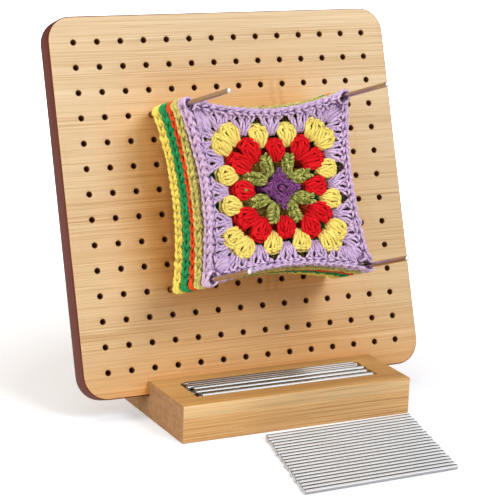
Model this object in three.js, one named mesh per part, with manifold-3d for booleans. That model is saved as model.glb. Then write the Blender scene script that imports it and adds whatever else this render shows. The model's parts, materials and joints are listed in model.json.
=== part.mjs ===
// Crochet blocking board: a square pegboard that leans in a slotted wooden stand,
// steel blocking rods, and five crocheted squares threaded on four of the rods.
// Units are millimetres, +X right, +Y back, +Z up. The origin is the centre of the stand's underside.
import * as THREE from 'three';
import { mergeGeometries, mergeVertices } from 'three/addons/utils/BufferGeometryUtils.js';
import Module from 'manifold-3d';

// ---------- driving dimensions ----------
const BOARD_SIZE = 302;         // width and height
const BOARD_T = 18;             // thickness
const BOARD_CORNER_R = 20;
const BOARD_CHAMFER = 1;        // eased face edges
const BOARD_X = -2.6;           // board centre, left of the stand's centre

const HOLE_PITCH = 20;
const HOLES_PER_SIDE = 14;
const HOLE_R = 2.5;             // circumradius
const HOLE_SIDES = 8;
const HOLE_DEPTH = 12.4;        // the holes are blind
const MID_HOLE = HOLE_DEPTH / 2;

const LEAN = THREE.MathUtils.degToRad(18.53);   // how far the board leans back from upright
const CONTACT_DROP = 139.4;     // from the grid centre down the face to the stand's top
const CONTACT_Y = 6.8;          // where the board's face crosses the stand's top
const FIT_GAP = 0.3;            // clearance in front of, behind and below the board in its slot

const STAND_W = 200;
const STAND_D = 120;
const STAND_H = 30;
const TOP_LAYER_T = 10;
const BOTTOM_LAYER_T = STAND_H - TOP_LAYER_T;

// The tray is a window cut through the top layer, in front of the slot.
const TRAY_L = 160;
const TRAY_FRONT = -42;
const TRAY_BACK = -8;

const ROD_R = 2;
const ROD_L = 152.4;            // rods in the board and in the tray
const LOOSE_ROD_L = 130.5;      // rods laid on the table
const ROD_SIDES = 12;

// How far cutters run past the surfaces they open.
const HOLE_OVERRUN = 1;
const TRAY_OVERRUN = 2;
const MERGE_TOLERANCE = 1e-4;   // vertices closer than this are joined

// ---------- materials ----------
const WOOD_DARK = { color: 0xc8965a, roughness: 0.5, metalness: 0 };
const WOOD_PALE = { color: 0xdab27d, roughness: 0.5, metalness: 0 };
const WOOD_BOARD = { color: 0xdcb684, roughness: 0.45, metalness: 0 };
const STEEL = { color: 0xc9cacc, roughness: 0.18, metalness: 1 };
const yarn = (color) => ({ color, roughness: 0.95, metalness: 0 });

// ---------- helpers ----------
const wasm = await Module();
wasm.setup();

function toManifold(geometry) {
  const bare = geometry.clone();
  bare.deleteAttribute('normal');
  bare.deleteAttribute('uv');
  const merged = mergeVertices(bare, MERGE_TOLERANCE);
  return new wasm.Manifold(new wasm.Mesh({
    numProp: 3,
    vertProperties: new Float32Array(merged.attributes.position.array),
    triVerts: new Uint32Array(merged.index.array),
  }));
}

function fromManifold(solid) {
  const { vertProperties, triVerts } = solid.getMesh();
  const geometry = new THREE.BufferGeometry();
  geometry.setAttribute('position', new THREE.BufferAttribute(new Float32Array(vertProperties), 3));
  geometry.setIndex(new THREE.BufferAttribute(new Uint32Array(triVerts), 1));
  geometry.computeVertexNormals();
  return geometry;
}

const subtract = (body, cutter) => fromManifold(toManifold(body).subtract(toManifold(cutter)));

function namedMesh(name, geometry, finish) {
  const mesh = new THREE.Mesh(geometry, new THREE.MeshStandardMaterial(finish));
  mesh.name = name;
  return mesh;
}

// A closed straight-sided THREE.Shape or THREE.Path through the points.
function polygon(PathType, points) {
  const path = new PathType(points.map(([x, y]) => new THREE.Vector2(x, y)));
  path.closePath();
  return path;
}

// A rod whose centre line runs from start to end.
function rodBetween(name, start, end) {
  const along = new THREE.Vector3().subVectors(end, start);
  const geometry = new THREE.CylinderGeometry(ROD_R, ROD_R, along.length(), ROD_SIDES);
  const rod = namedMesh(name, geometry, STEEL);
  rod.position.copy(start).addScaledVector(along, 0.5);
  rod.quaternion.setFromUnitVectors(new THREE.Vector3(0, 1, 0), along.normalize());
  return rod;
}

const numbered = (prefix, number) => `${prefix}_${String(number).padStart(2, '0')}`;

// ---------- stand ----------
const leanSin = Math.sin(LEAN);
const leanCos = Math.cos(LEAN);
const SLOT_T = BOARD_T + 2 * FIT_GAP;

// y of the slot's two walls at height z
const slotFront = (z) => CONTACT_Y - FIT_GAP / leanCos + (z - STAND_H) * Math.tan(LEAN);
const slotBack = (z) => slotFront(z) + SLOT_T / leanCos;

// A prism whose side profile (y, z) runs the full width of the stand along X.
function standLayer(profile) {
  const geometry = new THREE.ExtrudeGeometry(polygon(THREE.Shape, profile), {
    depth: STAND_W,
    bevelEnabled: false,
  });
  // profile (x, y) becomes (y, z), and the depth runs along X
  return geometry.applyMatrix4(new THREE.Matrix4().set(
    0, 0, 1, -STAND_W / 2,
    1, 0, 0, 0,
    0, 1, 0, 0,
    0, 0, 0, 1,
  ));
}

function trayCutter() {
  const height = TOP_LAYER_T + 2 * TRAY_OVERRUN;
  const cutter = new THREE.BoxGeometry(TRAY_L, TRAY_BACK - TRAY_FRONT, height);
  return cutter.translate(0, (TRAY_FRONT + TRAY_BACK) / 2, (BOTTOM_LAYER_T + STAND_H) / 2);
}

function addStand(parent) {
  const front = -STAND_D / 2;
  const back = STAND_D / 2;
  const seam = BOTTOM_LAYER_T;

  // the slot's floor, square to its walls, as (y, z) at the front and back
  const reach = BOARD_SIZE / 2 - CONTACT_DROP + FIT_GAP;
  const floorFront = [
    CONTACT_Y - reach * leanSin - FIT_GAP * leanCos,
    STAND_H - reach * leanCos + FIT_GAP * leanSin,
  ];
  const floorBack = [floorFront[0] + SLOT_T * leanCos, floorFront[1] - SLOT_T * leanSin];

  const bottom = standLayer([
    [front, 0], [back, 0], [back, seam], [slotBack(seam), seam],
    floorBack, floorFront, [slotFront(seam), seam], [front, seam],
  ]);
  const topFront = standLayer([
    [front, seam], [slotFront(seam), seam], [slotFront(STAND_H), STAND_H], [front, STAND_H],
  ]);
  const topRear = standLayer([
    [slotBack(seam), seam], [back, seam], [back, STAND_H], [slotBack(STAND_H), STAND_H],
  ]);
  parent.add(
    namedMesh('stand_bottom_layer', bottom, WOOD_DARK),
    namedMesh('stand_top_front', subtract(topFront, trayCutter()), WOOD_PALE),
    namedMesh('stand_top_rear', topRear, WOOD_PALE),
  );
}

// ---------- board ----------
// The board, its rods and the squares share a leaning frame: x right, z up the board,
// y into the board. The face is y = 0 and the grid centre is the origin.

// x of a column of holes, or z of a row, counted from 0 at the left or bottom
const holeAt = (index) => (index - (HOLES_PER_SIDE - 1) / 2) * HOLE_PITCH;

function boardBlank() {
  const half = BOARD_SIZE / 2;
  const inset = half - BOARD_CORNER_R;
  // where each corner's arc starts (x, z), then its centre (x, z), anticlockwise from lower right
  const corners = [
    [inset, -half, inset, -inset],
    [half, inset, inset, inset],
    [-inset, half, -inset, inset],
    [-half, -inset, -inset, -inset],
  ];
  const outline = new THREE.Shape();
  outline.moveTo(-inset, -half);
  corners.forEach(([startX, startZ, centreX, centreZ], i) => {
    outline.lineTo(startX, startZ);
    const from = ((i - 1) * Math.PI) / 2;
    const to = (i * Math.PI) / 2;
    outline.absarc(centreX, centreZ, BOARD_CORNER_R, from, to, false);
  });
  const blank = new THREE.ExtrudeGeometry(outline, {
    depth: BOARD_T - 2 * BOARD_CHAMFER,
    bevelEnabled: true,
    bevelThickness: BOARD_CHAMFER,
    bevelSize: BOARD_CHAMFER,
    bevelOffset: -BOARD_CHAMFER,
    bevelSegments: 1,
    curveSegments: 8,
  });
  blank.rotateX(Math.PI / 2);
  return blank.translate(0, BOARD_T - BOARD_CHAMFER, 0);
}

// All the blind holes, as one set of separate prisms.
function holeCutters() {
  const prisms = [];
  for (let row = 0; row < HOLES_PER_SIDE; row++) {
    for (let column = 0; column < HOLES_PER_SIDE; column++) {
      const length = HOLE_DEPTH + HOLE_OVERRUN;
      const prism = new THREE.CylinderGeometry(HOLE_R, HOLE_R, length, HOLE_SIDES);
      prism.translate(holeAt(column), (HOLE_DEPTH - HOLE_OVERRUN) / 2, holeAt(row));
      prisms.push(prism);
    }
  }
  return mergeGeometries(prisms);
}

// ---------- the four rods in the board ----------
const ROD_END_GAP = 0.3;                 // left between a rod's inner end and the hole's floor
const PULL_LEVER = ROD_L - MID_HOLE;     // depth over which the pulls below are measured
// name, hole x and z, and how far the rod is pulled in x and z over the lever
const BOARD_RODS = [
  ['board_rod_top_left', holeAt(3), holeAt(10), 1.6, -3.0],
  ['board_rod_top_right', holeAt(10), holeAt(10), -4.2, -4.0],
  ['board_rod_bottom_left', holeAt(3), holeAt(3), 2.2, 4.0],
  ['board_rod_bottom_right', holeAt(10), holeAt(3), -3.8, 2.8],
];

function boardRod([name, holeX, holeZ, pullX, pullZ]) {
  const outward = new THREE.Vector3(pullX, -PULL_LEVER, pullZ).normalize();
  const inner = new THREE.Vector3(holeX, MID_HOLE, holeZ)
    .addScaledVector(outward, -(HOLE_DEPTH - MID_HOLE - ROD_END_GAP));
  return rodBetween(name, inner, inner.clone().addScaledVector(outward, ROD_L));
}

// ---------- the five crocheted squares ----------
// Each leans back a little further than the board, so its upper edge is nearer the board.
const SQUARE_HALF = 75.5;        // half width at the corners
const SQUARE_CORNER = 5;         // how far each rounded corner reaches along the edges
const EYELET_R = 3.3;
const EYELET_STRETCH = 5.5;      // how far an eyelet is drawn out towards the middle
const EYELET_STEPS = 5;          // segments in each end of an eyelet
// name, distance of the middle from the board, slope against the board, thickness,
// half widths at the middle of the [left, right, lower, upper] edges, colour
const SQUARES = [
  ['square_1_yellow', 18.0, 0.020, 13.0, [67.2, 68.5, 67.0, 67.5], 0xf4e07a],
  ['square_2_green', 32.0, 0.030, 12.0, [66.4, 68.0, 67.0, 67.5], 0x1f7d4d],
  ['square_3_orange', 44.0, 0.035, 8.5, [66.5, 67.5, 66.5, 67.0], 0xdc4a20],
  ['square_4_olive', 55.4, 0.042, 12.0, [68.0, 68.0, 66.5, 66.5], 0xc3bd68],
  ['square_5_lavender', 69.0, 0.057, 12.0, [65.1, 66.2, 64.1, 62.5], 0xbda5d8],
];

// Where each rod crosses the plane whose distance from the board is distance + slope * z.
// This plane tilts the opposite way to the slab itself; the slopes are small.
function rodCrossings(distance, slope) {
  return BOARD_RODS.map(([, holeX, holeZ, pullX, pullZ]) => {
    const fraction = (distance + MID_HOLE + slope * holeZ) / (PULL_LEVER - slope * pullZ);
    return [holeX + pullX * fraction, holeZ + pullZ * fraction];
  });
}

// Four rounded corners joined by edges that pull inwards.
function squareOutline(centreX, centreZ, [left, right, lower, upper]) {
  const half = SQUARE_HALF;
  const edgeEnd = half - SQUARE_CORNER;
  // the control point that makes a curve pass through the given half width
  const control = (halfWidth) => 2 * halfWidth - half;
  // start, control point and end of each edge, anticlockwise from the lower one
  const edges = [
    [[-edgeEnd, -half], [0, -control(lower)], [edgeEnd, -half]],
    [[half, -edgeEnd], [control(right), 0], [half, edgeEnd]],
    [[edgeEnd, half], [0, control(upper)], [-edgeEnd, half]],
    [[-half, edgeEnd], [-control(left), 0], [-half, -edgeEnd]],
  ];
  const place = ([x, z]) => [centreX + x, centreZ + z];
  const shape = new THREE.Shape();
  shape.moveTo(...place(edges[0][0]));
  edges.forEach(([, middle, end], i) => {
    shape.quadraticCurveTo(...place(middle), ...place(end));
    const corner = end.map((value) => Math.sign(value) * half);
    const [nextStart] = edges[(i + 1) % edges.length];
    shape.quadraticCurveTo(...place(corner), ...place(nextStart));
  });
  return shape;
}

// An oblong hole from the rod towards the square's middle.
function eyelet(x, z, centreX, centreZ) {
  const inward = Math.atan2(centreZ - z, centreX - x);
  const points = [];
  // distance of each round end's centre from the rod, and the turn at which its arc starts
  for (const [shift, turn] of [[0, Math.PI / 2], [EYELET_STRETCH, -Math.PI / 2]]) {
    const endX = x + shift * Math.cos(inward);
    const endZ = z + shift * Math.sin(inward);
    for (let i = 0; i <= EYELET_STEPS; i++) {
      const angle = inward + turn + (Math.PI * i) / EYELET_STEPS;
      points.push([endX + EYELET_R * Math.cos(angle), endZ + EYELET_R * Math.sin(angle)]);
    }
  }
  return polygon(THREE.Path, points);
}

function crochetSquare([name, distance, slope, thickness, halfWidths, colour]) {
  const crossings = rodCrossings(distance, slope);
  const [centreX, centreZ] = [0, 1].map(
    (axis) => crossings.reduce((sum, point) => sum + point[axis], 0) / crossings.length,
  );
  const shape = squareOutline(centreX, centreZ, halfWidths);
  for (const [x, z] of crossings) shape.holes.push(eyelet(x, z, centreX, centreZ));
  const slab = new THREE.ExtrudeGeometry(shape, {
    depth: thickness,
    bevelEnabled: false,
    curveSegments: 6,
  });
  // shape (x, y) becomes (x, z), the depth runs out from the board, then the slab tilts
  slab.rotateX(Math.PI / 2);
  slab.translate(0, thickness / 2, 0);
  slab.rotateX(-Math.atan(slope));
  slab.translate(0, -distance, 0);
  return namedMesh(name, slab, yarn(colour));
}

function leaningParts() {
  const leaning = new THREE.Group();
  leaning.position.set(
    BOARD_X,
    CONTACT_Y + CONTACT_DROP * leanSin,
    STAND_H + CONTACT_DROP * leanCos,
  );
  leaning.rotation.x = -LEAN;
  leaning.add(
    namedMesh('blocking_board', subtract(boardBlank(), holeCutters()), WOOD_BOARD),
    ...BOARD_RODS.map(boardRod),
    ...SQUARES.map(crochetSquare),
  );
  return leaning;
}

// ---------- rods in the tray ----------
// Three nested courses, the top one standing a little proud of the tray's rim.
// Each row is a course, bottom first: its rods' places in pitches from the front rod.
const TRAY_COURSES = [
  [0, 1, 2, 3, 4, 5, 6, 7],
  [0.5, 1.5, 2.5, 3.5, 4.5, 5.5, 6.5],
  [0, 2, 4, 5, 6, 7],
];
// each rod's shift along x, in the same order
const TRAY_SHIFTS = [
  2.1, -1.4, 1.2, 3.0, -0.6, 2.2, -2.4, 0.4,
  2.6, 1.5, 3.1, -1.2, -2.0, 0.9, -2.9,
  0.7, -0.6, 1.6, -2.2, 0.4, -0.9,
];
const TRAY_WALL_GAP = 0.3;
const TRAY_FLOOR_GAP = 0.1;
const TRAY_RISE = 3.6;           // from one course to the next
const TRAY_FIRST_Y = TRAY_FRONT + ROD_R + TRAY_WALL_GAP;
const TRAY_LAST_Y = TRAY_BACK - ROD_R - TRAY_WALL_GAP;
const TRAY_PITCH = (TRAY_LAST_Y - TRAY_FIRST_Y) / (TRAY_COURSES[0].length - 1);

function addTrayRods(parent) {
  let count = 0;
  TRAY_COURSES.forEach((places, course) => {
    const z = BOTTOM_LAYER_T + ROD_R + TRAY_FLOOR_GAP + course * TRAY_RISE;
    for (const place of places) {
      const y = TRAY_FIRST_Y + place * TRAY_PITCH;
      const shift = TRAY_SHIFTS[count];
      count += 1;
      parent.add(rodBetween(
        numbered('tray_rod', count),
        new THREE.Vector3(shift - ROD_L / 2, y, z),
        new THREE.Vector3(shift + ROD_L / 2, y, z),
      ));
    }
  });
}

// ---------- loose rods on the table ----------
// A row in front of the stand, from the back rod's centre to the front one's.
const LOOSE_BACK = new THREE.Vector3(28.98, -72.71, ROD_R);
const LOOSE_FRONT = new THREE.Vector3(2.95, -182.24, ROD_R);
const LOOSE_TURN = THREE.MathUtils.degToRad(1.3);   // right ends swung to the back
// each rod's shift along x, back to front
const LOOSE_SHIFTS = [
  0.3, -0.5, 0.2, 0.6, -0.2, 0.1, -0.6, 0.4, -0.1, 0.5,
  -0.4, 0.0, 0.6, -0.3, 0.2, -0.5, 0.4, 0.1, -0.2, 0.3,
];

function addLooseRods(parent) {
  const halfRod = new THREE.Vector3(Math.cos(LOOSE_TURN), Math.sin(LOOSE_TURN), 0)
    .multiplyScalar(LOOSE_ROD_L / 2);
  LOOSE_SHIFTS.forEach((shift, i) => {
    const centre = LOOSE_BACK.clone().lerp(LOOSE_FRONT, i / (LOOSE_SHIFTS.length - 1));
    centre.x += shift;
    parent.add(rodBetween(
      numbered('loose_rod', i + 1),
      centre.clone().sub(halfRod),
      centre.clone().add(halfRod),
    ));
  });
}

// ---------- assembly ----------
const group = new THREE.Group();
addStand(group);
group.add(leaningParts());
addTrayRods(group);
addLooseRods(group);

export default group;
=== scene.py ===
# A crochet blocking board: a drilled bamboo board that leans back in a bamboo stand, polished steel
# rods, and a stack of five crocheted squares held by the four rods that stand on the board.
# The CAD frame is in metres: +X right, +Y back, +Z up, origin under the stand's centre.
# Shapes are worked out in mm and scaled by MM when they become meshes.
import json
import math

import bmesh
import bpy
import numpy as np
from mathutils import Vector, Matrix


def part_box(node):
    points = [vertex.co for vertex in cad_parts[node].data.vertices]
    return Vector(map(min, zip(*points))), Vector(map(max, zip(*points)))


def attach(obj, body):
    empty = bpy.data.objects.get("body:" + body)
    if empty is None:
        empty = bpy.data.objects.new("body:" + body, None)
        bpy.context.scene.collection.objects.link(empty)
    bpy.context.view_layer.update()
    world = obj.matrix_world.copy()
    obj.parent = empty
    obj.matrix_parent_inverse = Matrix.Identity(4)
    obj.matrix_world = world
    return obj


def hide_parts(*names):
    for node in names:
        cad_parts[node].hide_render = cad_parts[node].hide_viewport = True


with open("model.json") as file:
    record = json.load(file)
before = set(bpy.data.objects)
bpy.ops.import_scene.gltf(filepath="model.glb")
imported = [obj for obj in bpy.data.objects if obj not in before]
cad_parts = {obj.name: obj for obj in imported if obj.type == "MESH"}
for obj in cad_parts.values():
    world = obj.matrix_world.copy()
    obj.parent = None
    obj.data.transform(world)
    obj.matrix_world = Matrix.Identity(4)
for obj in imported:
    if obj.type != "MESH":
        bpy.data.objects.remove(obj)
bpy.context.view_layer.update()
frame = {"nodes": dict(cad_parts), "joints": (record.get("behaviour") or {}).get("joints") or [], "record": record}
BEHAVIOUR = frame["record"]["behaviour"]
MM = 0.001
TAU = 2 * math.pi
scene = bpy.context.scene

# ------------------------------------------------------------------ main sizes, in mm
BOARD_SIZE = 302.0          # side of the square board
BOARD_THICK = 18.0
BOARD_CORNER = 20.0         # corner radius
BOARD_ROUND = 1.3           # rounding of the rims of both faces
HOLE_PITCH = 20.0
HOLES_PER_SIDE = 14
DRILLED_HALF = HOLE_PITCH * HOLES_PER_SIDE / 2
HOLE_RADIUS = 2.30
ROD_RADIUS = 2.0            # the radius that the yarn has to clear


# ------------------------------------------------------------------ the board's leaning frame
def box_mm(node):
    """The low and high corners of a CAD piece's box."""
    return [np.array(corner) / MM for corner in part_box(node)]


lift_axis = next(j for j in frame["joints"] if j["name"] == "board_lift")["axis"]
RIGHT = np.array([1.0, 0.0, 0.0])
UP = np.array(lift_axis, float)                     # up the board
UP /= np.linalg.norm(UP)
OUT = np.array([0.0, -UP[2], UP[1]])                # out of the board's face
board_low, board_high = box_mm("blocking_board")
FACE_CENTRE = (board_low + board_high) / 2 + OUT * BOARD_THICK / 2


def board_point(x, z, out):
    """CAD point in mm from board coordinates: x right, z up the board, out from the face."""
    return FACE_CENTRE + x[..., None] * RIGHT + z[..., None] * UP + out[..., None] * OUT


def node_points(node):
    return np.array([v.co for v in frame["nodes"][node].data.vertices], float) / MM


# ------------------------------------------------------------------ mesh helpers
def add_attribute(mesh, name, values):
    """Stores one number or one vector for each vertex."""
    values = np.asarray(values, np.float32)
    kind, field = ("FLOAT_VECTOR", "vector") if values.ndim == 2 else ("FLOAT", "value")
    mesh.attributes.new(name, kind, "POINT").data.foreach_set(field, values.ravel())


def add_object(name, mesh):
    ob = bpy.data.objects.new(name, mesh)
    scene.collection.objects.link(ob)
    return ob


def register(ob, node, body):
    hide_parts(node)
    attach(ob, body)


def make_object(name, points, faces, mats, face_mats, loc, sharp_angle):
    """A smooth object from points in mm; loc holds the piece's own coordinates for its materials."""
    mesh = bpy.data.meshes.new(name)
    mesh.from_pydata([tuple(p) for p in np.asarray(points) * MM], [], faces)
    mesh.update(calc_edges=True)
    for mat in mats:
        mesh.materials.append(mat)
    mesh.polygons.foreach_set("material_index", np.asarray(face_mats, np.int32))
    mesh.polygons.foreach_set("use_smooth", np.full(len(mesh.polygons), True))
    add_attribute(mesh, "loc", loc)
    mesh.set_sharp_from_angle(angle=math.radians(sharp_angle))
    mesh.validate()
    return add_object(name, mesh)


# ------------------------------------------------------------------ shader helpers
BLACK, WHITE = (0, 0, 0), (1, 1, 1)


class Graph:
    """Short calls that add nodes to a node tree. Any input takes a value or another node's output."""

    def __init__(self, tree):
        self.tree = tree

    def feed(self, socket, value):
        if isinstance(value, bpy.types.NodeSocket):
            self.tree.links.new(value, socket)
        elif socket.type == "RGBA":
            socket.default_value = (*value, 1.0)
        else:
            socket.default_value = value

    def new(self, kind, inputs=None, **settings):
        node = self.tree.nodes.new(kind)
        for key, value in settings.items():
            setattr(node, key, value)
        for key, value in (inputs or {}).items():
            self.feed(node.inputs[key], value)
        return node

    def attribute(self, name, output="Vector"):
        return self.new("ShaderNodeAttribute", attribute_name=name).outputs[output]

    def split(self, vector):
        return self.new("ShaderNodeSeparateXYZ", {0: vector}).outputs

    def math(self, operation, *values, clamp=False):
        inputs = dict(enumerate(values))
        return self.new("ShaderNodeMath", inputs, operation=operation, use_clamp=clamp).outputs[0]

    def add(self, a, b, clamp=False):
        return self.math("ADD", a, b, clamp=clamp)

    def sub(self, a, b, clamp=False):
        return self.math("SUBTRACT", a, b, clamp=clamp)

    def mul(self, a, b, clamp=False):
        return self.math("MULTIPLY", a, b, clamp=clamp)

    def div(self, a, b, clamp=False):
        return self.math("DIVIDE", a, b, clamp=clamp)

    def climb(self, value, start, span):
        """0 up to start, then a straight rise to 1 over span."""
        return self.div(self.sub(value, start), span, clamp=True)

    def swing(self, value, amount):
        """A 0 to 1 value turned into a swing about zero."""
        return self.mul(self.sub(value, 0.5), amount)

    def mapping(self, source, scale, offset=(0, 0, 0)):
        inputs = {"Scale": scale, "Location": offset, "Vector": source}
        return self.new("ShaderNodeMapping", inputs).outputs["Vector"]

    def noise(self, source, scale, offset=(0, 0, 0), detail=4.0, roughness=0.55, distortion=0.0):
        vector = self.mapping(source, scale, offset)
        inputs = {"Scale": 1.0, "Detail": detail, "Roughness": roughness,
                  "Distortion": distortion, "Vector": vector}
        return self.new("ShaderNodeTexNoise", inputs).outputs["Fac"]

    def random(self, value):
        return self.new("ShaderNodeTexWhiteNoise", {"W": value},
                        noise_dimensions="1D").outputs["Value"]

    def ramp(self, factor, *stops):
        """Colour ramp; stops are (position, colour)."""
        node = self.new("ShaderNodeValToRGB", {"Fac": factor})
        elements = node.color_ramp.elements
        while len(elements) < len(stops):
            elements.new(0.5)
        for element, (position, colour) in zip(elements, stops):
            element.position = position
            element.color = (*colour, 1.0)
        return node.outputs["Color"]

    def mix(self, factor, a, b, blend="MIX"):
        return self.new("ShaderNodeMix", {0: factor, 6: a, 7: b},
                        data_type="RGBA", blend_type=blend).outputs[2]

    def bump(self, height, strength, distance, normal=None):
        inputs = {"Strength": strength, "Distance": distance, "Height": height}
        if normal is not None:
            inputs["Normal"] = normal
        return self.new("ShaderNodeBump", inputs).outputs["Normal"]


class Material(Graph):
    """The node tree of a new material, around its Principled BSDF."""

    def __init__(self, name):
        self.mat = bpy.data.materials.new(name)
        self.mat.use_nodes = True
        super().__init__(self.mat.node_tree)
        self.bsdf = next(n for n in self.tree.nodes if n.type == "BSDF_PRINCIPLED")

    def surface(self, **inputs):
        """Sets or links inputs of the BSDF, with underscores for spaces, and gives the material."""
        for key, value in inputs.items():
            self.feed(self.bsdf.inputs[key.replace("_", " ")], value)
        return self.mat


def srgb(*display):
    """Linear colour from 0-255 display values."""
    def linear(c):
        c /= 255.0
        return c / 12.92 if c <= 0.04045 else ((c + 0.055) / 1.055) ** 2.4
    return tuple(linear(c) for c in display)


# ------------------------------------------------------------------ bamboo
def bamboo(name, light, middle, dark, strip, seed, contrast=1.0, fine_share=0.32, vessels=0.30,
           painted_lower_shade_tint=None, painted_warm_shade_tint=None):
    """Laminated bamboo. In loc the grain runs along x, strips of the given width are stacked
    along y, and z is depth."""
    g = Material(name)
    loc = g.attribute("loc")
    along, across, _ = g.split(loc)

    def in_strips():
        """The place across the grain, counted in strips."""
        return g.div(g.add(across, 1000.0 + seed), strip)

    strip_tone = g.random(g.math("FLOOR", in_strips()))
    # long fibres, gathered in denser and plainer bands
    fibres = g.noise(loc, scale=(0.0035, 0.78, 0.78), offset=(seed, seed * 0.3, 0),
                     detail=5.0, roughness=0.66, distortion=0.25)
    fine = g.noise(loc, scale=(0.010, 1.45, 1.45), offset=(seed * 0.7, 0, 0),
                   detail=3.0, roughness=0.65)
    broad = g.noise(loc, scale=(0.006, 0.045, 0.045), offset=(seed, 4.0, 0),
                    detail=3.0, roughness=0.5)
    band = g.noise(loc, scale=(0.005, 0.11, 0.11), offset=(seed * 2.1, 7.0, 0),
                   detail=3.0, roughness=0.6)
    gain = g.add(0.35, g.mul(g.climb(band, start=0.36, span=0.28), 1.75))
    tone = g.add(g.swing(fibres, amount=0.82 - fine_share), g.swing(fine, amount=fine_share))
    tone = g.add(0.5, g.mul(tone, gain))
    tone = g.add(tone, g.swing(broad, amount=0.16))
    tone = g.add(tone, g.swing(strip_tone, amount=0.10))
    reach = 0.16 / contrast                         # tone change from the middle to light or dark
    colour = g.ramp(tone, (0.50 - reach, dark), (0.50, middle), (0.50 + reach, light))
    # short dark vessel lines along the grain
    lines = g.noise(loc, scale=(0.016, 1.25, 1.25), offset=(seed * 1.3, 9.0, 0),
                    detail=3.0, roughness=0.6)
    colour = g.mix(g.mul(g.ramp(lines, (0.56, BLACK), (0.70, WHITE)), vessels), colour, dark)
    # bamboo nodes: faint darker marks across some strips, at a spacing and with a half width in mm
    node_spacing, node_half = 130.0, 3.2
    shifted = g.add(along, g.mul(strip_tone, 2 * node_spacing))
    waver = g.mul(g.noise(loc, scale=(0.02, 0.25, 0.25), detail=2.0), 9.0)
    from_node = g.math("PINGPONG", g.add(shifted, waver), node_spacing)
    mark = g.sub(1.0, g.div(g.math("ABSOLUTE", g.sub(from_node, 4.0)), node_half), clamp=True)
    mark = g.mul(mark, g.ramp(strip_tone, (0.45, BLACK), (0.75, WHITE)))
    mark_strength, joint_strength, joint_half = 0.35, 0.18, 0.012     # half width in strips
    colour = g.mix(g.mul(mark, mark_strength), colour, dark)
    # thin dark joints between strips
    part = g.math("FRACT", in_strips())
    to_joint = g.math("MINIMUM", part, g.sub(1.0, part))
    joint = g.sub(1.0, g.div(to_joint, joint_half), clamp=True)
    colour = g.mix(g.mul(joint, joint_strength), colour, dark)
    if painted_lower_shade_tint is not None:                      # painted shade and warm reflected light from the stand: darkest at the bottom, fading out to the top
        height = g.climb(across, start=-150.0, span=300.0)
        colour = g.mix(1.0, colour, g.mix(height, painted_lower_shade_tint, WHITE), "MULTIPLY")
    if painted_warm_shade_tint is not None:
        # painted warm shade and bounced light: where ambient occlusion finds things close by, the wood is tinted
        # orange as if in their shade and warm reflected light
        open_sky = g.new("ShaderNodeAmbientOcclusion", {"Distance": 0.065}, samples=6).outputs["AO"]
        near = g.div(g.sub(0.97, open_sky), 0.46, clamp=True)
        colour = g.mix(near, colour, g.mix(1.0, colour, painted_warm_shade_tint, "MULTIPLY"))
    least_roughness, roughness_range = 0.33, 0.18
    normal = g.bump(fibres, strength=0.10, distance=0.0006)
    return g.surface(
        Base_Color=colour,
        Roughness=g.add(g.mul(fine, roughness_range), least_roughness),
        Specular_IOR_Level=0.35,
        Coat_Weight=0.06,
        Coat_Roughness=0.35,
        Normal=g.bump(fine, strength=0.12, distance=0.0003, normal=normal))


def end_grain():
    """The sawn ends of the laminate: fibre bundles as fine dots over uneven tones."""
    g = Material("bamboo_end_grain")
    loc = g.attribute("loc")
    dots = g.new("ShaderNodeTexVoronoi", {
        "Scale": 1.0, "Vector": g.mapping(loc, scale=(0.05, 1.3, 1.3))}).outputs["Distance"]
    big = g.noise(loc, scale=(0.05, 0.12, 0.22), detail=3.0)
    fine = g.noise(loc, scale=(0.05, 0.5, 1.2), offset=(0, 0, 2))
    dots_share, big_share, fine_share = 0.25, 0.4, 0.35
    tone = g.add(g.mul(dots, dots_share), g.mul(big, big_share))
    tone = g.add(tone, g.mul(fine, fine_share))
    return g.surface(
        Base_Color=g.ramp(tone, (0.28, srgb(122, 84, 54)), (0.62, srgb(166, 132, 98))),
        Roughness=0.6,
        Specular_IOR_Level=0.3,
        Normal=g.bump(dots, strength=0.15, distance=0.0004))


def board_edge():
    """The board's stained edge: dark red-brown with faint layers and a slightly burnt look."""
    g = Material("board_edge_stain")
    loc = g.attribute("loc")
    depth = g.split(loc)[2]
    layers = g.noise(loc, scale=(0.02, 0.02, 1.1), detail=3.0, roughness=0.6)
    flecks = g.noise(loc, scale=(0.25, 0.25, 1.6), roughness=0.6)
    layer_share, fleck_share = 0.6, 0.4
    colour = g.ramp(g.add(g.mul(layers, layer_share), g.mul(flecks, fleck_share)),
                    (0.32, srgb(74, 28, 22)), (0.52, srgb(94, 40, 32)), (0.70, srgb(117, 59, 45)))
    # the rear half is cooler than the front half
    rear, rear_strength = g.climb(depth, start=8.5, span=1.5), 0.50
    return g.surface(
        Base_Color=g.mix(g.mul(rear, rear_strength), colour, srgb(92, 54, 52)),
        Roughness=0.5,
        Specular_IOR_Level=0.35,
        Normal=g.bump(flecks, strength=0.15, distance=0.0004))


def hole_wall():
    g = Material("board_hole_wall")
    grain = g.noise(g.attribute("loc"), scale=(0.9, 0.9, 0.3), detail=3.0)
    return g.surface(
        Base_Color=g.ramp(grain, (0.3, srgb(112, 74, 44)), (0.7, srgb(150, 106, 68))),
        Roughness=0.8,
        Normal=g.bump(grain, strength=0.2, distance=0.0003))


# the face's colour carries painted shade: darker and warmer towards the bottom, and orange close to things
# standing on it
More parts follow.
